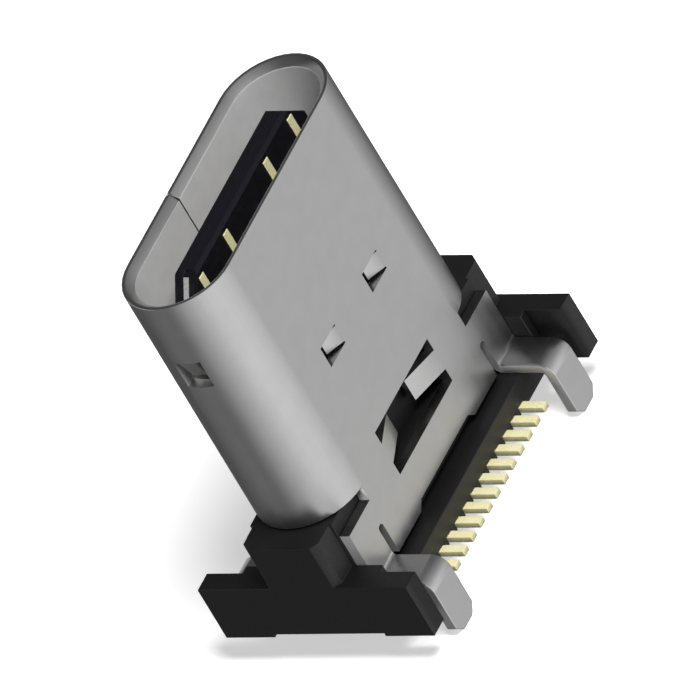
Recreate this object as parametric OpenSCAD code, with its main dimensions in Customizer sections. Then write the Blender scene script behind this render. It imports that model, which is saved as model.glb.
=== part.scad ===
// Vertical (top entry) receptacle for the reversible 24 contact plug.
// The board surface is the plane z = 0 and the plug enters from above.
// X runs along the slot of the mouth, row A faces -Y and row B faces +Y.

/* [Mouth] */
// Inside width of the mouth
mouth_w = 8.34; // [7.8:0.01:10.1]
// Inside height of the mouth
mouth_h = 2.56; // [2.5:0.01:3.1]
// Thickness of the shell's sheet
sheet = 0.3; // [0.24:0.01:0.36]
// Width of the lead-in chamfer round the mouth
lead_in = 0.2; // [0.05:0.01:0.22]

/* [Heights above the board] */
// Rim of the mouth
rim_z = 11.1; // [10.6:0.05:13.4]
// Lower edge of the rounded ends of the shell
tube_z = 3.2; // [3:0.05:3.6]
// Floor of the mouth, where the plug stops
floor_z = 4.9; // [4.4:0.05:5]
// Top of the end posts of the housing
post_z = 3.15; // [2.9:0.05:3.15]
// Top of the wings
wing_z = 1.73; // [1.4:0.01:2]
// Top of the ledges, which carry the legs
ledge_z = 0.75; // [0.6:0.01:0.9]
// Upper edge of the ears
ear_top_z = 2.72; // [2.5:0.01:2.9]
// Lower edge of the shell's flat sides
skirt_z = 0.92; // [0.91:0.01:1.1]
// Extra height of the skirt's lower edge along its middle
skirt_relief = 0.22; // [0.1:0.01:0.3]

/* [Housing] */
// Wall from the shell's end to the outside of the wing
end_wall = 0.65; // [0.5:0.01:0.9]
// Thickness of a wing along X
wing_t = 0.58; // [0.5:0.01:0.6]
// Reach of a wing past the flat side of the shell
wing_out = 1.62; // [1.6:0.01:2]
// Reach of a ledge past the flat side of the shell
ledge_out = 0.52; // [0.4:0.01:0.7]
// Step from the flat side of the shell in to the end post
post_in = 0.42; // [0.35:0.01:0.6]
// Chamfer on the corners of the end posts
post_chamfer = 0.2; // [0.1:0.01:0.25]
// Relief under the housing between its standoff feet
foot_h = 0.1; // [0.05:0.01:0.12]
// Length of a standoff foot, from the tip of the wing
foot_l = 1.5; // [1:0.05:1.8]

/* [Shell details] */
// Step from the rounded end in to the outer edge of an ear
ear_in = 0.19; // [0.1:0.01:0.3]
// Step from the middle of the rounded end out to the neck
neck_out = 0.12; // [0.05:0.01:0.15]
// Width of the low part at each end of the skirt
skirt_foot = 1.38; // [1:0.01:1.6]
// Width of a through-hole leg
leg_w = 1; // [0.8:0.01:1.05]
// Reach of a leg's outer face past the flat side
leg_out = 1.55; // [1.4:0.01:1.6]
// Length of a leg below the board surface
leg_drop = 0.9; // [0.6:0.05:1.5]
// Inside radius of the bends in the legs
bend_r = 0.12; // [0.08:0.01:0.2]
// Corner cut on the tip of a leg
tip_cut = 0.26; // [0.1:0.01:0.4]
// Width of the slot between a leg and the skirt
slot_w = 0.22; // [0.15:0.01:0.3]
// Height of that slot above the edge of the skirt
slot_h = 0.95; // [0.8:0.01:1.1]
// Width of the large window
window_w = 3.27; // [3:0.05:3.6]
// Height of the large window
window_h = 1.5; // [1.3:0.01:1.6]
// Height above the board of the large window's middle
window_z = 2.96; // [2.9:0.01:3.04]
// Length of a locking tab in the large window
lock_l = 1.14; // [0.8:0.01:1.3]
// Width of a locking tab
lock_w = 0.68; // [0.6:0.01:0.9]
// Angle at which a locking tab is bent in
lock_a = 20; // [15:1:26]
// Width of a lance's window
lance_w = 0.87; // [0.8:0.01:1.1]
// Height of a lance's window
lance_h = 0.65; // [0.55:0.01:0.9]
// Length of a lance
lance_l = 0.58; // [0.4:0.01:0.7]
// Width of a lance at its tip
lance_tip = 0.45; // [0.1:0.01:0.5]
// Angle at which a lance is bent in
lance_a = 27; // [10:1:34]
// Distance of the lances below the rim
lance_depth = 4.6; // [4:0.01:4.7]
// Distance between the two lances
lance_pitch = 2.59; // [2.2:0.01:3]
// Width of the window in a rounded end
side_w = 0.8; // [0.6:0.01:0.9]
// Height of the window in a rounded end
side_h = 0.86; // [0.8:0.01:1]
// Distance of the end windows below the rim
side_depth = 2.38; // [1.8:0.01:3]
// Length of the small tab in an end window
end_tab_l = 0.7; // [0.4:0.01:0.75]
// Width of the small tab
end_tab_w = 0.5; // [0.4:0.01:0.55]
// Angle at which the small tab is bent in
end_tab_a = 20; // [10:1:24]
// Place of the seam along the far side
seam_x = -0.43; // [-0.5:0.01:0.5]
// Width of the gap in the seam
seam_gap = 0.05; // [0.04:0.01:0.08]

/* [Contacts] */
// Distance between neighbouring contacts
pitch = 0.5; // [0.42:0.01:0.6]
// Width of a contact
contact_w = 0.25; // [0.2:0.01:0.3]
// Thickness of a contact
contact_t = 0.18; // [0.12:0.01:0.2]
// Height by which a contact stands proud of the tongue
contact_proud = 0.02; // [0:0.01:0.03]
// Distance of the power and ground contacts behind the tip of the tongue
long_back = 0.22; // [0.15:0.01:0.4]
// Extra distance of the signal contacts
signal_back = 0.6; // [0.4:0.01:0.8]
// Reach of the solder tails past the ledge
tail_out = 0.7; // [0.5:0.01:0.9]

/* [Tongue] */
// Thickness of the tongue
tongue_t = 0.7; // [0.66:0.01:0.84]
// Plastic beyond the outermost contact
tongue_edge = 0.47; // [0.4:0.01:0.6]
// Distance of the tongue's tip below the rim
tip_depth = 0.32; // [0.2:0.01:0.5]
// Corner cut on the tip of the tongue
tongue_corner = 0.6; // [0.2:0.01:0.65]
// Chamfer along the long edges of the tongue's tip
tip_chamfer = 0.1; // [0.05:0.01:0.15]
// Thickness of the steel plate in the tongue
plate_t = 0.16; // [0.12:0.01:0.18]
// Distance of the plate behind the tip of the tongue
plate_back = 0.15; // [0.1:0.01:0.5]
// Depth of the latch notches in the tongue's sides
latch_in = 0.22; // [0.1:0.01:0.3]
// Length of the latch notches
latch_l = 0.8; // [0.5:0.01:1]
// Distance of the latch notches behind the tip of the tongue
latch_back = 2.2; // [1.8:0.01:2.6]
// Thickness of the thick root of the tongue, over its ground plates
root_t = 1.44; // [1.3:0.01:1.5]
// Height of the thick root above the floor of the mouth
root_h = 1.6; // [1.2:0.01:1.8]
// Thickness of a ground plate
ground_t = 0.12; // [0.1:0.01:0.15]
// Reach of the flange at the foot of a carrier
flange = 0.4; // [0.3:0.01:0.5]

/* [Hidden] */
FIT = 0.02;           // gap between the shell and the housing
RUN = 0.05;           // gap round the tails and the bent tabs
ROUND = 48;
COUNT = 12;           // contacts in a row
STEEL = "#acacac";
RESIN = "#212121";
TONGUE = "#1c1c20";
GOLD = "#d8d6a0";

shell_w = mouth_w + 2 * sheet;
shell_h = mouth_h + 2 * sheet;
end_r = shell_h / 2;                    // radius of the rounded ends
end_x = shell_w / 2 - end_r;            // centre of a rounded end
face_y = shell_h / 2;                   // outside of a flat side
wall_y = mouth_h / 2;                   // inside of a flat side

ear_x = shell_w / 2 - ear_in;           // outer edge of an ear
leg_x = ear_x - leg_w;                  // inner edge of a leg
skirt_x = leg_x - slot_w;               // half width of the skirt
slot_top = skirt_z + slot_h;            // top of the slot beside a leg
neck_x = end_x + neck_out;              // half width between the tube and the ears
leg_y = face_y + leg_out;               // outer face of a leg

post_x = shell_w / 2 + end_wall;        // outer end of the housing
post_y = face_y - post_in;
wing_x = post_x - wing_t;
wing_y = face_y + wing_out;
ledge_y = face_y + ledge_out;
body_x = ear_x + FIT;                   // half width of the housing behind the ears
body_y = wall_y - FIT;
lock_pocket = lock_l * sin(lock_a) + sheet * (cos(lock_a) - 1) - FIT + RUN;

lane = contact_w + 2 * RUN;             // channel for a tail
tongue_x = (11 * pitch + contact_w) / 2 + tongue_edge;
tip_z = rim_z - tip_depth;
root_z = floor_z + root_h;
root_y = root_t / 2 - ground_t;         // plastic of the root, under its plates
contact_y = tongue_t / 2 + contact_proud;  // outer face of a contact
tail_y = ledge_y + tail_out;
carrier_z = contact_t;                  // underside of the carriers, on the tails
flange_x = tongue_x + flange;           // flange at the foot of a carrier
flange_y = root_t / 2 + flange;
flange_z = carrier_z + flange;

ROWS = ["a", "b"];

// X of contact i. Row B runs the other way, so the plug fits both ways up.
function contact_x(i, row) = (row == "a" ? 1 : -1) * (i - (COUNT + 1) / 2) * pitch;

// Contacts 1, 4, 9 and 12 carry ground and power, and reach further forward.
function is_long(i) = i == 1 || i == 4 || i == 9 || i == 12;

// Row A as drawn faces -Y, and row B is its mirror image.
module side(row) {
    if (row == "a") children();
    else mirror([0, 1, 0]) children();
}

module both_x() {
    children();
    mirror([1, 0, 0]) children();
}

module both_y() {
    children();
    mirror([0, 1, 0]) children();
}

// Outline with rounded ends, w wide and h high
module stadium(w, h) {
    square([w - h, h], center = true);
    for (x = [-1, 1]) translate([x * (w - h) / 2, 0]) circle(d = h, $fn = ROUND);
}

// Stands a profile drawn as (outward distance, height) on the -Y side
// and gives it a width along X from x0 to x1.
module swept_x(x0, x1)
    translate([x0, 0, 0]) mirror([0, 1, 0]) rotate([90, 0, 90])
        linear_extrude(x1 - x0) children();

// Quarter ring between radii r and r + t, in quadrant q counted from +X+Y
module quarter(r, t, q) {
    rotate(90 * q) intersection() {
        difference() {
            circle(r + t, $fn = ROUND);
            circle(r, $fn = ROUND);
        }
        square(r + t);
    }
}

// ---- shell: one folded sheet of stainless steel ----

// Mouth cutter: two cones and a prism, widest at the rim
module lead_in_cut() {
    reach = mouth_h / 2 + lead_in;
    both_x() translate([end_x, 0, rim_z - lead_in])
        cylinder(r1 = mouth_h / 2, r2 = reach, h = lead_in, $fn = ROUND);
    translate([-end_x, 0, rim_z - lead_in]) rotate([90, 0, 90]) linear_extrude(2 * end_x)
        polygon([[-mouth_h / 2, 0], [mouth_h / 2, 0], [reach, lead_in], [-reach, lead_in]]);
}

module tube() {
    translate([0, 0, tube_z]) linear_extrude(rim_z - tube_z) difference() {
        stadium(shell_w, shell_h);
        stadium(mouth_w, mouth_h);
    }
}

// Flat side below the tube, drawn in X and Z: neck, ears and skirt
module skirt_outline() {
    foot_x = skirt_x - skirt_foot;
    both_x() {
        polygon([
            [-1, tube_z + sheet], [end_x, tube_z + sheet], [neck_x, tube_z],
            [neck_x, slot_top], [skirt_x, slot_top], [skirt_x, skirt_z],
            [foot_x, skirt_z], [foot_x - skirt_relief, skirt_z + skirt_relief],
            [-1, skirt_z + skirt_relief]]);
        difference() {
            translate([-1, slot_top]) square([1 + ear_x, ear_top_z - slot_top]);
            translate([skirt_x + slot_w / 2, slot_top]) circle(d = slot_w, $fn = ROUND);
        }
        translate([leg_x, ledge_z + sheet + bend_r])
            square([leg_w, ear_top_z - ledge_z - sheet - bend_r]);
    }
}

// Leg profile: down the ear, out over the ledge and down through the board
module leg_profile() {
    up = ledge_z + sheet + bend_r;
    out_o = leg_y - sheet - bend_r;
    translate([face_y + bend_r, up]) quarter(bend_r, sheet, 2);
    translate([face_y + bend_r, ledge_z])
        square([out_o - face_y - bend_r, sheet]);
    translate([out_o, ledge_z - bend_r]) quarter(bend_r, sheet, 0);
    translate([leg_y - sheet, -leg_drop]) square([sheet, ledge_z - bend_r + leg_drop]);
}

// Cuts the two corners off a leg's tip
module tip_cutter()
    for (x = [leg_x, ear_x]) translate([x, 0, -leg_drop]) rotate([0, 45, 0])
        cube([tip_cut * sqrt(2), 4 * leg_y, tip_cut * sqrt(2)], center = true);

module leg() difference() {
    swept_x(leg_x, ear_x) leg_profile();
    tip_cutter();
}

// Tab cut on three sides and bent in from a hinge line along Z at x = 0.
// It points along +X from the hinge and narrows to tip_wide.
module bent_tab(long, wide, tip_wide, angle) {
    tip = [long * cos(angle), -face_y + long * sin(angle)];
    intersection() {
        translate([0, 0, -wide / 2]) linear_extrude(wide) polygon([
            [-sheet, -face_y], [0, -face_y], tip,
            tip + sheet * [-sin(angle), cos(angle)], [0, -wall_y], [-sheet, -wall_y]]);
        rotate([90, 0, 0]) linear_extrude(face_y + sheet) polygon([
            [-sheet, -wide / 2], [0, -wide / 2], [tip.x, -tip_wide / 2],
            [tip.x, tip_wide / 2], [0, wide / 2], [-sheet, wide / 2]]);
    }
}

// The lances all point the same way, so they are not mirrored across the mouth.
lance_x = [-lance_pitch / 2, lance_pitch / 2];

// Windows through one flat side
module side_windows() {
    translate([0, -face_y, window_z]) cube([window_w, 3 * sheet, window_h], center = true);
    for (x = lance_x) translate([x, -face_y, rim_z - lance_depth])
        cube([lance_w, 3 * sheet, lance_h], center = true);
}

// Tabs left standing in those windows
module side_tabs() {
    both_x() translate([-window_w / 2, 0, window_z]) bent_tab(lock_l, lock_w, lock_w, lock_a);
    for (x = lance_x) translate([x + lance_w / 2, 0, rim_z - lance_depth])
        mirror([1, 0, 0]) bent_tab(lance_l, lance_h - 2 * RUN, lance_tip, lance_a);
}

// Straight slit from point p to point q
module slit(p, q) {
    d = q - p;
    translate(p) rotate(atan2(d.y, d.x)) translate([-seam_gap / 2, -seam_gap / 2])
        square([norm(d) + seam_gap, seam_gap]);
}

// Seam of the folded sheet, with one dovetail that locks it
module seam() {
    neck = 0.4;
    head = 0.62;
    deep = 0.55;
    mid = rim_z - lance_depth / 2;
    path = [[0, rim_z + 1], [0, mid + neck], [deep, mid + head],
            [deep, mid - head], [0, mid - neck], [0, skirt_z - 1]];
    translate([seam_x, face_y + sheet, 0]) rotate([90, 0, 0]) linear_extrude(3 * sheet)
        for (i = [1 : len(path) - 1]) slit(path[i - 1], path[i]);
}

module shell() color(STEEL) {
    difference() {
        union() {
            tube();
            both_y() translate([0, -wall_y, 0]) rotate([90, 0, 0])
                linear_extrude(sheet) skirt_outline();
        }
        lead_in_cut();
        both_y() side_windows();
        translate([0, 0, rim_z - side_depth])
            cube([2 * shell_w, side_w, side_h], center = true);
        seam();
    }
    both_y() side_tabs();
    both_y() both_x() leg();
    both_x() end_tab();
}

// Small tab in the window of a rounded end, bent in from its upper edge
module end_tab() {
    root = [-shell_w / 2 + FIT, rim_z - side_depth + side_h / 2];
    tip = root + end_tab_l * [sin(end_tab_a), -cos(end_tab_a)];
    translate([0, end_tab_w / 2, 0]) rotate([90, 0, 0]) linear_extrude(end_tab_w) polygon([
        root + [0, sheet / 2], root, tip, tip + sheet * [cos(end_tab_a), sin(end_tab_a)],
        root + [sheet - FIT, 0], root + [sheet - FIT, sheet / 2]]);
}

// ---- housing: one black moulding ----

module post() {
    c = post_chamfer;
    linear_extrude(post_z) polygon([
        [-post_x, -post_y + c], [-post_x + c, -post_y], [post_x - c, -post_y],
        [post_x, -post_y + c], [post_x, post_y - c], [post_x - c, post_y],
        [-post_x + c, post_y], [-post_x, post_y - c]]);
}

// Pockets behind the large windows, which the locking tabs snap into
module lock_pockets() both_y()
    translate([0, -body_y - 1 + lock_pocket, window_z])
        cube([window_w, 2, window_h], center = true);

// Space for the two carriers and the plates, from below
module carrier_space() {
    translate([-flange_x, -flange_y, -1]) cube([2 * flange_x, 2 * flange_y, 1 + flange_z]);
    translate([-tongue_x, -root_y, -1]) cube([2 * tongue_x, 2 * root_y, floor_z + 2]);
}

// Channels under the ledges, one for each tail
module tail_channels() both_y()
    for (i = [1 : COUNT]) translate([contact_x(i, "a") - lane / 2, -ledge_y - 1, -1])
        cube([lane, ledge_y + 1, 1 + contact_t + RUN]);

module housing() color(RESIN) difference() {
    union() {
        translate([0, 0, post_z - 1]) linear_extrude(floor_z - post_z + 1)
            stadium(mouth_w - 2 * FIT, mouth_h - 2 * FIT);
        post();
        translate([-body_x, -body_y, 0]) cube([2 * body_x, 2 * body_y, post_z]);
        translate([-wing_x, -ledge_y, 0]) cube([2 * wing_x, 2 * ledge_y, ledge_z]);
        both_x() translate([wing_x, -wing_y, 0]) cube([wing_t, 2 * wing_y, wing_z]);
        both_x() translate([body_x, -ledge_y, 0])
            cube([wing_x - body_x, 2 * ledge_y, wing_z]);
    }
    lock_pockets();
    carrier_space();
    tail_channels();
    translate([-post_x - 1, -wing_y + foot_l, -1])
        cube([2 * post_x + 2, 2 * (wing_y - foot_l), 1 + foot_h]);
}

// ---- carriers: two mouldings round the contact rows, which form the tongue ----

// Profile of half the tongue, drawn as (outward distance, height)
module carrier_profile() {
    half_t = tongue_t / 2;
    square([root_y, root_z]);
    polygon([[0, 0], [half_t, 0], [half_t, tip_z - tip_chamfer],
             [half_t - tip_chamfer, tip_z], [0, tip_z]]);
    square([flange_y - FIT, flange_z - FIT]);
}

// Outline of the tongue seen along Y: cut corners and a latch notch on each side
module tongue_outline() {
    c = tongue_corner;
    notch_z = tip_z - latch_back;
    difference() {
        both_x() {
            polygon([[-1, 0], [tongue_x, 0], [tongue_x, tip_z - c],
                     [tongue_x - c, tip_z], [-1, tip_z]]);
            square([flange_x - FIT, flange_z]);
        }
        both_x() translate([tongue_x - latch_in, notch_z - latch_l])
            square([1, latch_l]);
    }
}

module carrier(row) color(TONGUE) difference() {
    intersection() {
        side(row) swept_x(-flange_x, flange_x) carrier_profile();
        translate([0, tail_y, 0]) rotate([90, 0, 0])
            linear_extrude(2 * tail_y) tongue_outline();
        translate([-flange_x, -tail_y, carrier_z]) cube([2 * flange_x, 2 * tail_y, tip_z]);
    }
    mid_plate();
    for (i = [1 : COUNT]) contact(i, row);
}

// ---- plates ----

// Steel plate between the two rows, with a latch notch and a foot on each side
module mid_plate() color(STEEL) {
    top = tip_z - plate_back;
    notch_z = tip_z - latch_back;
    c = max(0, tongue_corner - plate_back);
    translate([0, plate_t / 2, 0]) rotate([90, 0, 0]) linear_extrude(plate_t)
        difference() {
            both_x() {
                polygon([[-1, flange_z], [tongue_x, flange_z], [tongue_x, top - c],
                         [tongue_x - c, top], [-1, top]]);
                translate([tongue_x - flange + FIT, 0]) square([flange - FIT, flange_z + 1]);
            }
            both_x() translate([tongue_x - latch_in, notch_z - latch_l])
                square([1, latch_l]);
        }
}

// Ground plate on the thick root: it stands on the floor and reaches to the shell
module ground_plate(row) color(STEEL) side(row)
    swept_x(-end_x, end_x) translate([root_y, floor_z]) {
        square([ground_t, root_h]);
        square([body_y - root_y, ground_t]);
    }

// ---- contacts ----

// Strip down the tongue, round the foot and out along the board
module contact_profile(top) {
    r = contact_t;
    translate([contact_y - contact_t, contact_t + r]) square([contact_t, top - contact_t - r]);
    translate([contact_y + r, contact_t + r]) quarter(r, contact_t, 2);
    translate([contact_y + r, 0]) square([tail_y - contact_y - r, contact_t]);
}

module contact(i, row) color(GOLD) {
    top = tip_z - long_back - (is_long(i) ? 0 : signal_back);
    x = contact_x(i, row);
    side(row) swept_x(x - contact_w / 2, x + contact_w / 2) contact_profile(top);
}

shell();
housing();
carrier("a");  // carrier_a
carrier("b");  // carrier_b
mid_plate();
ground_plate("a");  // ground_plate_a
ground_plate("b");  // ground_plate_b
for (row = ROWS) for (i = [1 : COUNT])
    contact(i, row);
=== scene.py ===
import math

import bmesh
import bpy
from mathutils import Matrix, Vector


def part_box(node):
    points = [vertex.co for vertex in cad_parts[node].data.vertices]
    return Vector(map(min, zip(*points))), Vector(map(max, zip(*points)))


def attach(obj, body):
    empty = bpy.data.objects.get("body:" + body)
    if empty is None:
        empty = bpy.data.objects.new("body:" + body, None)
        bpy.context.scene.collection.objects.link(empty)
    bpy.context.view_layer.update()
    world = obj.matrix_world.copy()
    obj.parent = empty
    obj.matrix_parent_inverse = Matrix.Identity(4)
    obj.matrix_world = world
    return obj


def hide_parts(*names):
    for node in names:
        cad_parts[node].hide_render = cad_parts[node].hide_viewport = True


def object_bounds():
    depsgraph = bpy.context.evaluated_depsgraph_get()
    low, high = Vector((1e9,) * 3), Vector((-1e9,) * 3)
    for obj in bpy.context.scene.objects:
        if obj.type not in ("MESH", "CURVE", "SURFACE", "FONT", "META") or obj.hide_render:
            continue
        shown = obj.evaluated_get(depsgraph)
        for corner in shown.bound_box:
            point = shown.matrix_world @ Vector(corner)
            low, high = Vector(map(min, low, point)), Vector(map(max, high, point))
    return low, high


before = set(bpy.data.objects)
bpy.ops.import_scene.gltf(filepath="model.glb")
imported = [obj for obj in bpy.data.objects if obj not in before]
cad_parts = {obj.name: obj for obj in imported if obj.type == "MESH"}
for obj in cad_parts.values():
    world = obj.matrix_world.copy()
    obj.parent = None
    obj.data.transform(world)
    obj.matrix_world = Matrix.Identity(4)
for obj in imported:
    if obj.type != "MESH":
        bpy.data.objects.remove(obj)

MM = 0.001
cad_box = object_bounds()

# ---- The folded steel shell ----
# One blank of 0.3 mm stainless sheet, punched, rolled round a mandrel and locked
# by a dovetail in its seam. Its legs are bent out over the housing and down
# through the board, where they are soldered.

def linear(hex_code):
    """sRGB hex colour as the linear colour a shader takes."""
    channels = [int(hex_code[i:i + 2], 16) / 255 for i in (1, 3, 5)]
    return [c / 12.92 if c <= 0.04045 else ((c + 0.055) / 1.055) ** 2.4 for c in channels] + [1.0]


def add(tree, kind, settings={}, links={}):
    """A node of that kind, with its properties or socket values set and its inputs linked."""
    node = tree.nodes.new(kind)
    for name, value in settings.items():
        if isinstance(name, int) or name in node.inputs:
            node.inputs[name].default_value = value
        else:
            setattr(node, name, value)
    for name, source in links.items():
        tree.links.new(source, node.inputs[name])
    return node


def rounded_copy(node, width, rounds):
    """The CAD node's mesh with its flat faces whole and the sharp edges that rounds() picks rounded."""
    weld = 0.0005 * MM
    flat = math.radians(0.5)
    sharp = math.radians(32)
    crease = math.radians(50)
    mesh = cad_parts[node].data.copy()
    mesh.materials.clear()
    shape = bmesh.new()
    shape.from_mesh(mesh)
    bmesh.ops.remove_doubles(shape, verts=shape.verts, dist=weld)
    bmesh.ops.dissolve_limit(shape, angle_limit=flat, verts=shape.verts, edges=shape.edges)
    weight = shape.edges.layers.float.new("bevel_weight_edge")
    for edge in shape.edges:
        if edge.calc_face_angle(0) > sharp and rounds(edge):
            edge[weight] = 1.0
    shape.to_mesh(mesh)
    shape.free()
    rough = bpy.data.objects.new("rough", mesh)
    bpy.context.collection.objects.link(rough)
    rounding = rough.modifiers.new("rounded edges", "BEVEL")
    rounding.width = width
    rounding.segments = 2
    rounding.limit_method = "WEIGHT"
    rounding.loop_slide = False
    rounding.use_clamp_overlap = False
    graph = bpy.context.evaluated_depsgraph_get()
    mesh = bpy.data.meshes.new_from_object(rough.evaluated_get(graph))
    for polygon in mesh.polygons:
        polygon.use_smooth = True
    mesh.set_sharp_from_angle(angle=crease)
    rough.modifiers.remove(rounding)
    rough.data = mesh
    normals = rough.modifiers.new("flat faces stay flat", "WEIGHTED_NORMAL")
    normals.keep_sharp = True
    graph = bpy.context.evaluated_depsgraph_get()
    finished = bpy.data.meshes.new_from_object(rough.evaluated_get(graph))
    bpy.data.objects.remove(rough)
    return finished


# Cold-rolled stainless sheet, annealed: a soft grey satin, with fine rolling lines
# that run with the strip, along Z, and a slight mottle left by the pickling bath.
cold_rolled_stainless = bpy.data.materials.new("cold_rolled_stainless")
cold_rolled_stainless.use_nodes = True
tree = cold_rolled_stainless.node_tree
steel = tree.nodes["Principled BSDF"]
place = add(tree, "ShaderNodeTexCoord").outputs["Object"]
# Rolling lines are 0.01 mm apart on the real sheet. They are drawn 0.06 mm apart, so that they show.
line_gap = 0.06 * MM
line_length = 3 * MM
line_depth = 0.004 * MM
mottle_size = 0.5 * MM
strip = add(tree, "ShaderNodeMapping", {"Scale": (1 / line_gap, 1 / line_gap, 1 / line_length)},
            {"Vector": place})
lines = add(tree, "ShaderNodeTexNoise", {"Scale": 1.0, "Detail": 3.0, "Roughness": 0.6},
            {"Vector": strip.outputs["Vector"]})
mottle = add(tree, "ShaderNodeTexNoise", {"Scale": 1 / mottle_size, "Detail": 4.0}, {"Vector": place})
tone = add(tree, "ShaderNodeMix", {"data_type": "RGBA", 6: linear("#cfcfcf"), 7: linear("#d9d9d9")},
           {0: mottle.outputs["Fac"]})
sheen = add(tree, "ShaderNodeMapRange", {"From Min": 0.3, "From Max": 0.7, "To Min": 0.30, "To Max": 0.38},
            {"Value": lines.outputs["Fac"]})
relief = add(tree, "ShaderNodeBump", {"Strength": 0.08, "Distance": line_depth},
             {"Height": lines.outputs["Fac"]})
tree.links.new(tone.outputs[2], steel.inputs["Base Color"])
tree.links.new(sheen.outputs["Result"], steel.inputs["Roughness"])
tree.links.new(relief.outputs["Normal"], steel.inputs["Normal"])
steel.inputs["Metallic"].default_value = 1.0

# The side of the sheet that faces the plug keeps the dull skin of the pickling bath,
# and the sheared ends of the flat sides are as dull.
pickled_stainless = bpy.data.materials.new("pickled_stainless_inside")
pickled_stainless.use_nodes = True
tree = pickled_stainless.node_tree
skin = tree.nodes["Principled BSDF"]
place = add(tree, "ShaderNodeTexCoord").outputs["Object"]
cloud_size = 0.6 * MM
clouds = add(tree, "ShaderNodeTexNoise", {"Scale": 1 / cloud_size, "Detail": 4.0}, {"Vector": place})
tone = add(tree, "ShaderNodeMix", {"data_type": "RGBA", 6: linear("#cdcdcf"), 7: linear("#e2e2e2")},
           {0: clouds.outputs["Fac"]})
tree.links.new(tone.outputs[2], skin.inputs["Base Color"])
skin.inputs["Metallic"].default_value = 0.5
skin.inputs["Roughness"].default_value = 0.5

sheet_t = 0.3 * MM
hair = 0.001 * MM
places = [v.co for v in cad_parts["shell"].data.vertices]
rim_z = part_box("shell")[1][2]
rim = [place for place in places if place.z > rim_z - hair]
tube_x = max(place.x for place in rim)
tube_y = max(place.y for place in rim)
# Where the round ends stop above the housing, and where they meet the flat sides
tube_z = min(place.z for place in places if place.x > tube_x - hair)
end_x = tube_x - tube_y


def from_axis(point):
    """Level vector to a point from the nearest place on the middle line of the mouth."""
    return Vector((point.x - max(-end_x, min(end_x, point.x)), point.y, 0))


# Only the rim and the legs lose their burr in the barrel. Windows and seam stay sharp from the shear.
edge_r = 0.03 * MM
lead_in_h = 0.25 * MM
clear = 0.02 * MM


def on_rim_or_leg(edge):
    """Whether an edge of the shell lies at the rim or on a leg outside the flat sides."""
    return (all(v.co.z > rim_z - lead_in_h for v in edge.verts)
            or all(abs(v.co.y) > tube_y + clear for v in edge.verts))


shell = bpy.data.objects.new("steel_shell", rounded_copy("shell", edge_r, on_rim_or_leg))
bpy.context.collection.objects.link(shell)
shell.data.materials.append(cold_rolled_stainless)
shell.data.materials.append(pickled_stainless)
# Least cosine between a face's normal and the direction that it nearly, or squarely, faces
nearly = 0.9
squarely = 0.99
sides = shell.data
normals = [corner.vector.copy() for corner in sides.corner_normals]
for face in sides.polygons:
    away = from_axis(face.center)
    outward = face.normal.dot(away.normalized())
    depth = tube_y - away.length
    past_flat = abs(face.center.x) > end_x
    at_end = past_flat and face.center.z > tube_z
    inside = outward < -nearly and depth > sheet_t / 2
    in_end_window = at_end and depth > clear and face.center.z < rim_z - sheet_t
    cut_end = past_flat and face.center.z < tube_z and abs(face.normal.x) > nearly
    looks_up = face.normal.z > 0.3
    if (inside or in_end_window or cut_end) and not looks_up:
        face.material_index = 1
    # The rounded ends are true half cylinders, whatever the windows do to their facets.
    if at_end and abs(outward) > squarely:
        for corner in face.loop_indices:
            point = sides.vertices[sides.loops[corner].vertex_index].co
            normals[corner] = math.copysign(1, outward) * from_axis(point).normalized()
sides.normals_split_custom_set(normals)
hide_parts("shell")
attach(shell, "root")

# ---- The black housing ----
# One injection moulding of glass-filled nylon, pushed into the shell from below.
# Its end posts and wings stand outside the shell, and it rests on small feet.

# Glass-filled nylon from a spark-eroded mould: dull black, with a fine even grain
# and a little grey where the glass comes to the surface.
glass_filled_nylon = bpy.data.materials.new("glass_filled_nylon_moulded")
glass_filled_nylon.use_nodes = True
tree = glass_filled_nylon.node_tree
nylon = tree.nodes["Principled BSDF"]
place = add(tree, "ShaderNodeTexCoord").outputs["Object"]
# The eroded grain is 0.02 mm. It is drawn at 0.05 mm, so that it shows.
grain_size = 0.05 * MM
grain_depth = 0.004 * MM
flow_size = 1.2 * MM
grain = add(tree, "ShaderNodeTexNoise", {"Scale": 1 / grain_size, "Detail": 3.0}, {"Vector": place})
flow = add(tree, "ShaderNodeTexNoise", {"Scale": 1 / flow_size, "Detail": 3.0, "Distortion": 0.6},
           {"Vector": place})
tone = add(tree, "ShaderNodeMix", {"data_type": "RGBA", 6: linear("#0b0b0b"), 7: linear("#141414")},
           {0: flow.outputs["Fac"]})
sheen = add(tree, "ShaderNodeMapRange", {"From Min": 0.3, "From Max": 0.7, "To Min": 0.42, "To Max": 0.58},
            {"Value": grain.outputs["Fac"]})
relief = add(tree, "ShaderNodeBump", {"Strength": 0.25, "Distance": grain_depth},
             {"Height": grain.outputs["Fac"]})
tree.links.new(tone.outputs[2], nylon.inputs["Base Color"])
tree.links.new(sheen.outputs["Result"], nylon.inputs["Roughness"])
tree.links.new(relief.outputs["Normal"], nylon.inputs["Normal"])
nylon.inputs["IOR"].default_value = 1.6

mould_r = 0.03 * MM
feet_top = 0.2 * MM
posts_top = 3.2 * MM
channels_y = 0.9 * MM


def on_outside(edge):
    """Whether an edge of the housing lies clear of the tail channels, the feet and the mouth's floor."""
    return all(feet_top < v.co.z < posts_top and abs(v.co.y) > channels_y for v in edge.verts)


housing = bpy.data.objects.new("moulded_housing", rounded_copy("housing", mould_r, on_outside))
bpy.context.collection.objects.link(housing)
housing.data.materials.append(glass_filled_nylon)
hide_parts("housing")
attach(housing, "root")

# ---- The two halves of the tongue ----
# Each half is moulded round one row of contacts, and the two are pressed together
# on the steel plate between them. They are of liquid crystal polymer.

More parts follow.
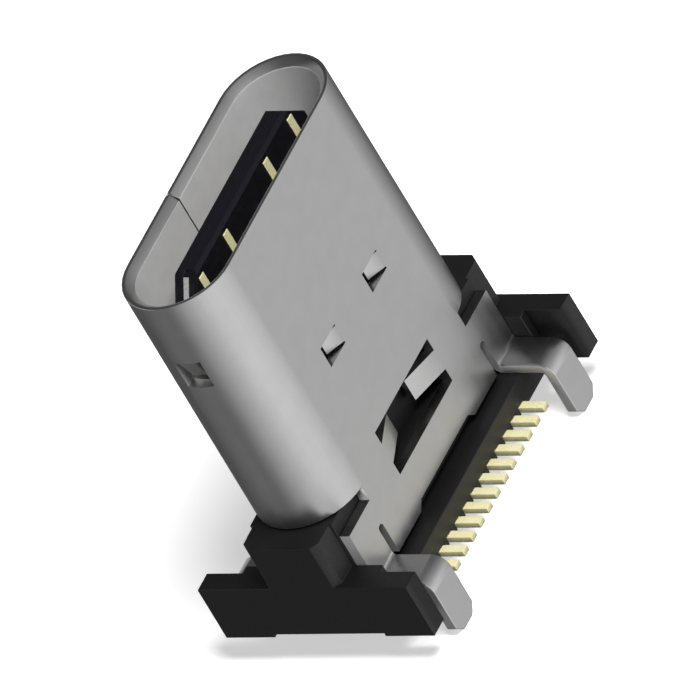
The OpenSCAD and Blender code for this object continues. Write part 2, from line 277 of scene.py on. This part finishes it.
# Liquid crystal polymer, moulded: near black with a cold tint, smooth, with faint
# flow lines that run from the foot to the tip.
liquid_crystal_polymer = bpy.data.materials.new("liquid_crystal_polymer_moulded")
liquid_crystal_polymer.use_nodes = True
tree = liquid_crystal_polymer.node_tree
polymer = tree.nodes["Principled BSDF"]
place = add(tree, "ShaderNodeTexCoord").outputs["Object"]
flow_width = 0.15 * MM
flow_length = 1.5 * MM
flow_depth = 0.003 * MM
run = add(tree, "ShaderNodeMapping", {"Scale": (1 / flow_width, 1 / flow_width, 1 / flow_length)},
          {"Vector": place})
flow = add(tree, "ShaderNodeTexNoise", {"Scale": 1.0, "Detail": 3.0}, {"Vector": run.outputs["Vector"]})
tone = add(tree, "ShaderNodeMix", {"data_type": "RGBA", 6: linear("#08080c"), 7: linear("#121219")},
           {0: flow.outputs["Fac"]})
sheen = add(tree, "ShaderNodeMapRange", {"From Min": 0.3, "From Max": 0.7, "To Min": 0.35, "To Max": 0.5},
            {"Value": flow.outputs["Fac"]})
relief = add(tree, "ShaderNodeBump", {"Strength": 0.15, "Distance": flow_depth},
             {"Height": flow.outputs["Fac"]})
tree.links.new(tone.outputs[2], polymer.inputs["Base Color"])
tree.links.new(sheen.outputs["Result"], polymer.inputs["Roughness"])
tree.links.new(relief.outputs["Normal"], polymer.inputs["Normal"])
polymer.inputs["IOR"].default_value = 1.4

tongue_r = 0.015 * MM
longest_at_slots = 0.12 * MM


def is_plain(edge):
    """Whether an edge and its neighbours are long, as they are away from the slots of the contacts."""
    return all(near.calc_length() > longest_at_slots for v in edge.verts for near in v.link_edges)


for row in "ab":
    half = bpy.data.objects.new("tongue_half_" + row, rounded_copy("carrier_" + row, tongue_r, is_plain))
    bpy.context.collection.objects.link(half)
    half.data.materials.append(liquid_crystal_polymer)
    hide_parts("carrier_" + row)
    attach(half, "root")

# ---- The plates in and on the tongue ----
# The middle plate keeps the two rows apart, and its notches catch the plug's latches.
# The two bent plates on the thick root earth the plug. All three are stamped steel.

# Stamped stainless strip, bright from the press: a cleaner grey than the shell,
# with a fine cross grain.
stamped_stainless = bpy.data.materials.new("stamped_stainless_strip")
stamped_stainless.use_nodes = True
tree = stamped_stainless.node_tree
strip_steel = tree.nodes["Principled BSDF"]
place = add(tree, "ShaderNodeTexCoord").outputs["Object"]
# Press lines are 0.01 mm apart on the real strip. They are drawn 0.05 mm apart, so that they show.
press_gap = 0.05 * MM
press_length = 2 * MM
cross = add(tree, "ShaderNodeMapping", {"Scale": (1 / press_length, 1 / press_gap, 1 / press_gap)},
            {"Vector": place})
lines = add(tree, "ShaderNodeTexNoise", {"Scale": 1.0, "Detail": 3.0}, {"Vector": cross.outputs["Vector"]})
tone = add(tree, "ShaderNodeMix", {"data_type": "RGBA", 6: linear("#b4b4b4"), 7: linear("#c8c8c6")},
           {0: lines.outputs["Fac"]})
sheen = add(tree, "ShaderNodeMapRange", {"From Min": 0.3, "From Max": 0.7, "To Min": 0.25, "To Max": 0.36},
            {"Value": lines.outputs["Fac"]})
tree.links.new(tone.outputs[2], strip_steel.inputs["Base Color"])
tree.links.new(sheen.outputs["Result"], strip_steel.inputs["Roughness"])
strip_steel.inputs["Metallic"].default_value = 0.5

for node in ("mid_plate", "ground_plate_a", "ground_plate_b"):
    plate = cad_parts[node]
    plate.data.materials.clear()
    plate.data.materials.append(stamped_stainless)

# ---- The contacts ----
# Two rows of twelve, stamped from copper alloy strip and plated. Each runs down the
# tongue, bends at the foot and comes out as a solder tail. The power and ground
# contacts, numbers 1, 4, 9 and 12, reach further forward than the others.

# Gold flash over nickel: a thin plating, so a pale warm metal, slightly uneven
# in tone and not quite smooth.
gold_flash = bpy.data.materials.new("gold_flash_on_copper_alloy")
gold_flash.use_nodes = True
tree = gold_flash.node_tree
gold = tree.nodes["Principled BSDF"]
place = add(tree, "ShaderNodeTexCoord").outputs["Object"]
plating_patch = 0.3 * MM
plating_depth = 0.003 * MM
uneven = add(tree, "ShaderNodeTexNoise", {"Scale": 1 / plating_patch, "Detail": 4.0}, {"Vector": place})
tone = add(tree, "ShaderNodeMix", {"data_type": "RGBA", 6: linear("#e8e0a2"), 7: linear("#f8f4cf")},
           {0: uneven.outputs["Fac"]})
sheen = add(tree, "ShaderNodeMapRange", {"From Min": 0.3, "From Max": 0.7, "To Min": 0.22, "To Max": 0.34},
            {"Value": uneven.outputs["Fac"]})
relief = add(tree, "ShaderNodeBump", {"Strength": 0.05, "Distance": plating_depth},
             {"Height": uneven.outputs["Fac"]})
tree.links.new(tone.outputs[2], gold.inputs["Base Color"])
tree.links.new(sheen.outputs["Result"], gold.inputs["Roughness"])
tree.links.new(relief.outputs["Normal"], gold.inputs["Normal"])
gold.inputs["Metallic"].default_value = 0.4

# One row as a rule: a flat strip follows the bent path and stands once at each place of
# the pitch, taller at the four places that mate first.
row_rule = bpy.data.node_groups.new("contact_row", "GeometryNodeTree")
row_sizes = {}
for name in ("Pitch", "Width", "Thickness", "Inner Face", "Tail End", "Long Top", "Short Top",
             "Bend Radius", "Turn"):
    size = row_rule.interface.new_socket(name, in_out="INPUT", socket_type="NodeSocketFloat")
    row_sizes[name] = size.identifier
row_rule.interface.new_socket("Row", in_out="OUTPUT", socket_type="NodeSocketGeometry")
given = add(row_rule, "NodeGroupInput").outputs
index = add(row_rule, "GeometryNodeInputIndex").outputs[0]


def reckon(operation, *values):
    """Output of a Math node over numbers or other outputs."""
    numbers = {i: v for i, v in enumerate(values) if isinstance(v, (int, float))}
    sources = {i: v for i, v in enumerate(values) if i not in numbers}
    return add(row_rule, "ShaderNodeMath", {"operation": operation, **numbers}, sources).outputs[0]


half = reckon("MULTIPLY", given["Thickness"], 0.5)
strip_place = reckon("ADD", given["Inner Face"], half)
profile = add(row_rule, "GeometryNodeCurvePrimitiveQuadrilateral",
              links={"Width": given["Width"], "Height": given["Thickness"]})
# Contacts 1 and 12 are 5.5 steps from the middle of the row, and 4 and 9 are 2.5.
end_steps = 5.5
power_steps = 2.5
first_place = add(row_rule, "ShaderNodeCombineXYZ",
                  links={"X": reckon("MULTIPLY", given["Pitch"], -end_steps)})
next_place = add(row_rule, "ShaderNodeCombineXYZ", links={"X": given["Pitch"]})
places = add(row_rule, "GeometryNodeMeshLine", {"Count": 12},
             {"Start Location": first_place.outputs[0], "Offset": next_place.outputs[0]})
near = 0.1
steps = reckon("ABSOLUTE", reckon("SUBTRACT", index, end_steps))
mates_first = reckon("ADD", reckon("COMPARE", steps, end_steps, near),
                     reckon("COMPARE", steps, power_steps, near))
mates_later = reckon("SUBTRACT", 1.0, mates_first)
rows = add(row_rule, "GeometryNodeJoinGeometry")
for top, chosen in ((given["Long Top"], mates_first), (given["Short Top"], mates_later)):
    # The path has three corners: the top of the strip, its bend and the end of its tail.
    at_top = reckon("COMPARE", index, 0, near)
    at_tail = reckon("COMPARE", index, 2, near)
    out = reckon("MULTIPLY_ADD", at_tail, reckon("SUBTRACT", given["Tail End"], strip_place), strip_place)
    up = reckon("MULTIPLY_ADD", at_top, reckon("SUBTRACT", top, half), half)
    corner = add(row_rule, "ShaderNodeCombineXYZ", links={"Y": reckon("MULTIPLY", out, -1), "Z": up})
    corners = add(row_rule, "GeometryNodePoints", {"Count": 3}, {"Position": corner.outputs[0]})
    path = add(row_rule, "GeometryNodePointsToCurves", links={"Points": corners.outputs[0]})
    bent = add(row_rule, "GeometryNodeFilletCurve", {"mode": "POLY", "Count": 8},
               {"Curve": path.outputs[0], "Radius": given["Bend Radius"]})
    level = add(row_rule, "GeometryNodeSetCurveNormal", {"mode": "FREE", "Normal": (1, 0, 0)},
                {"Curve": bent.outputs[0]})
    strip = add(row_rule, "GeometryNodeCurveToMesh", {"Fill Caps": True},
                {"Curve": level.outputs[0], "Profile Curve": profile.outputs[0]})
    stood = add(row_rule, "GeometryNodeInstanceOnPoints", links={
        "Points": places.outputs[0], "Selection": chosen, "Instance": strip.outputs[0]})
    row_rule.links.new(stood.outputs[0], rows.inputs[0])
turn = add(row_rule, "ShaderNodeCombineXYZ", links={"Z": given["Turn"]})
turned = add(row_rule, "GeometryNodeTransform",
             links={"Geometry": rows.outputs[0], "Rotation": turn.outputs[0]})
real = add(row_rule, "GeometryNodeRealizeInstances", links={"Geometry": turned.outputs[0]})
plated = add(row_rule, "GeometryNodeSetMaterial", {"Material": gold_flash},
             {"Geometry": real.outputs[0]})
add(row_rule, "NodeGroupOutput", links={"Row": plated.outputs[0]})

# The tongue halves stand on the tails, so their underside is one thickness of strip up.
strip_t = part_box("carrier_a")[0][2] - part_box("contact_a1")[0][2]
bend_r = 1.5 * strip_t
strip_edge_r = 0.018 * MM
sharp = math.radians(40)
for row, turn in (("a", 0.0), ("b", math.pi)):
    names = [f"contact_{row}{i}" for i in range(1, 13)]
    (low, high), (next_low, next_high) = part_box(names[0]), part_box(names[1])
    made = bpy.data.objects.new("made", bpy.data.meshes.new("made"))
    bpy.context.collection.objects.link(made)
    rule = made.modifiers.new("row", "NODES")
    rule.node_group = row_rule
    for name, value in (
            ("Pitch", abs(next_low[0] - low[0])), ("Width", high[0] - low[0]), ("Thickness", strip_t),
            ("Inner Face", min(abs(low[1]), abs(high[1]))), ("Tail End", max(abs(low[1]), abs(high[1]))),
            ("Long Top", high[2]), ("Short Top", next_high[2]), ("Bend Radius", bend_r), ("Turn", turn)):
        rule[row_sizes[name]] = value
    # The press leaves the strip's edges slightly rounded.
    rounding = made.modifiers.new("rounded edges", "BEVEL")
    rounding.width = strip_edge_r
    rounding.segments = 2
    rounding.limit_method = "ANGLE"
    rounding.angle_limit = sharp
    made.modifiers.new("flat faces stay flat", "WEIGHTED_NORMAL")
    graph = bpy.context.evaluated_depsgraph_get()
    stamped = bpy.data.meshes.new_from_object(made.evaluated_get(graph))
    bpy.data.objects.remove(made)
    contacts = bpy.data.objects.new("contact_row_" + row, stamped)
    bpy.context.collection.objects.link(contacts)
    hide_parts(*names)
    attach(contacts, "root")

# ---- The studio ----
# A pale table under the leg tips, one broad soft lamp above the side of row A,
# and a room that is white in front and darker behind.

floor_z = cad_box[0][2]
floor_corners = [(x, y, floor_z) for x, y in ((-1, -1), (1, -1), (1, 1), (-1, 1))]
floor_mesh = bpy.data.meshes.new("table")
floor_mesh.from_pydata(floor_corners, [], [(0, 1, 2, 3)])
table = bpy.data.objects.new("table", floor_mesh)
bpy.context.collection.objects.link(table)
table.visible_glossy = False
table.visible_diffuse = False
# White card: it keeps the object's shadow, and what the lamp leaves short of white is added for the camera.
white_card = bpy.data.materials.new("white_card")
white_card.use_nodes = True
tree = white_card.node_tree
card = tree.nodes["Principled BSDF"]
card.inputs["Base Color"].default_value = linear("#e6e6e6")
card.inputs["Roughness"].default_value = 0.9
card.inputs["Specular IOR Level"].default_value = 0.0
seen = add(tree, "ShaderNodeLightPath")
top_up = add(tree, "ShaderNodeMath", {"operation": "MULTIPLY", 1: 0.55}, {0: seen.outputs["Is Camera Ray"]})
card.inputs["Emission Color"].default_value = (1, 1, 1, 1)
tree.links.new(top_up.outputs[0], card.inputs["Emission Strength"])
floor_mesh.materials.append(white_card)

room = bpy.data.worlds.new("room")
bpy.context.scene.world = room
room.use_nodes = True
tree = room.node_tree
looking = add(tree, "ShaderNodeTexCoord").outputs["Generated"]
direction = add(tree, "ShaderNodeSeparateXYZ", links={0: looking})
# What gloss sees, from the front of the room (-Y) to its back (+Y)
across = add(tree, "ShaderNodeMapRange", {"From Min": -1.0, "From Max": 1.0},
             {"Value": direction.outputs["Y"]})
walls = add(tree, "ShaderNodeValToRGB", links={"Fac": across.outputs["Result"]})
stops = walls.color_ramp.elements
front_half = ((0.06, 1.0), (0.13, 0.95), (0.20, 0.74), (0.25, 0.66), (0.32, 0.56), (0.40, 0.44), (0.48, 0.34))
back_half = ((0.56, 0.17), (0.65, 0.13), (0.73, 0.19), (0.80, 0.15), (0.88, 0.09), (0.93, 0.02))
for where, level in front_half + back_half:
    stop = stops.new(where)
    stop.color = (level, level, level, 1)
# A new ramp has a black and a white stop of its own, one at each end.
stops.remove(stops[0])
stops.remove(stops[-1])
# The ceiling is darker than the walls.
upward = add(tree, "ShaderNodeMapRange", {"From Min": 0.0, "From Max": 0.5, "To Min": 0.0, "To Max": 0.42},
             {"Value": direction.outputs["Z"]})
gloss = add(tree, "ShaderNodeMix", {"data_type": "RGBA", 7: (0, 0, 0, 1)},
            {0: upward.outputs["Result"], 6: walls.outputs["Color"]})
# A pale band runs along the foot of the back wall.
at_back = add(tree, "ShaderNodeMapRange", {"From Min": 0.5, "From Max": 0.75},
              {"Value": direction.outputs["Y"]})
over_floor = add(tree, "ShaderNodeMapRange", {"From Min": -0.46, "From Max": -0.3},
                 {"Value": direction.outputs["Z"]})
under_top = add(tree, "ShaderNodeMapRange", {"From Min": 0.1, "From Max": 0.3, "To Min": 0.7, "To Max": 0.0},
                {"Value": direction.outputs["Z"]})
low = add(tree, "ShaderNodeMath", {"operation": "MULTIPLY"},
          {0: at_back.outputs["Result"], 1: over_floor.outputs["Result"]})
band = add(tree, "ShaderNodeMath", {"operation": "MULTIPLY"},
           {0: low.outputs[0], 1: under_top.outputs["Result"]})
gloss = add(tree, "ShaderNodeMix", {"data_type": "RGBA", 7: (1, 1, 1, 1)},
            {0: band.outputs[0], 6: gloss.outputs[2]})
# The right-hand side of the room is a little dimmer.
rightward = add(tree, "ShaderNodeMapRange",
                {"From Min": -0.5, "From Max": 1.0, "To Min": 1.0, "To Max": 0.7},
                {"Value": direction.outputs["X"]})
dimmed = add(tree, "ShaderNodeVectorMath", {"operation": "SCALE"},
             {0: gloss.outputs[2], "Scale": rightward.outputs["Result"]})
# Dull surfaces get a fifth of the light of the walls, and the rest from the lamp.
soft = add(tree, "ShaderNodeVectorMath", {"operation": "SCALE", "Scale": 0.2},
           {0: walls.outputs["Color"]})
seen = add(tree, "ShaderNodeLightPath")
shiny = add(tree, "ShaderNodeMath", {"operation": "MAXIMUM"},
            {0: seen.outputs["Is Glossy Ray"], 1: seen.outputs["Is Transmission Ray"]})
matte = add(tree, "ShaderNodeMix", {"data_type": "RGBA"},
            {0: shiny.outputs[0], 6: soft.outputs[0], 7: dimmed.outputs[0]})
shown = add(tree, "ShaderNodeMix", {"data_type": "RGBA", 7: (1, 1, 1, 1)},
            {0: seen.outputs["Is Camera Ray"], 6: matte.outputs[2]})
tree.links.new(shown.outputs[2], tree.nodes["Background"].inputs["Color"])

# The lamp gives the matte light only, so that no hot spot stands on the steel.
middle = Vector((0, 0, 5 * MM))
lamp = bpy.data.lights.new("top_lamp", "AREA")
lamp.shape = "DISK"
lamp.size = 50 * MM
lamp.energy = 0.2
held = bpy.data.objects.new("top_lamp", lamp)
held.location = (-10 * MM, -50 * MM, 100 * MM)
held.rotation_euler = (middle - held.location).to_track_quat("-Z", "Y").to_euler()
held.visible_glossy = False
bpy.context.collection.objects.link(held)

# The camera looks down on the corner between row A and the end at -X, and is rolled to one
# side. It is orthographic, so the lines along each axis stay parallel.
right = Vector((0.3990, -0.8132, -0.4237)).normalized()
upright = Vector((0.7198, -0.0085, 0.6942))
back = right.cross(upright).normalized()
upright = back.cross(right)
aim = -1.56 * MM * right + 3.483 * MM * upright
field = 17.5 * MM
stand_off = 150 * MM
lens = bpy.data.cameras.new("camera")
lens.type = "ORTHO"
lens.ortho_scale = field
lens.clip_start = 0.001
lens.clip_end = 2.0
camera = bpy.data.objects.new("camera", lens)
camera.matrix_world = Matrix((right, upright, back)).transposed().to_4x4()
camera.location = aim + stand_off * back
bpy.context.collection.objects.link(camera)
bpy.context.scene.camera = camera
bpy.context.scene.view_settings.view_transform = "Standard"
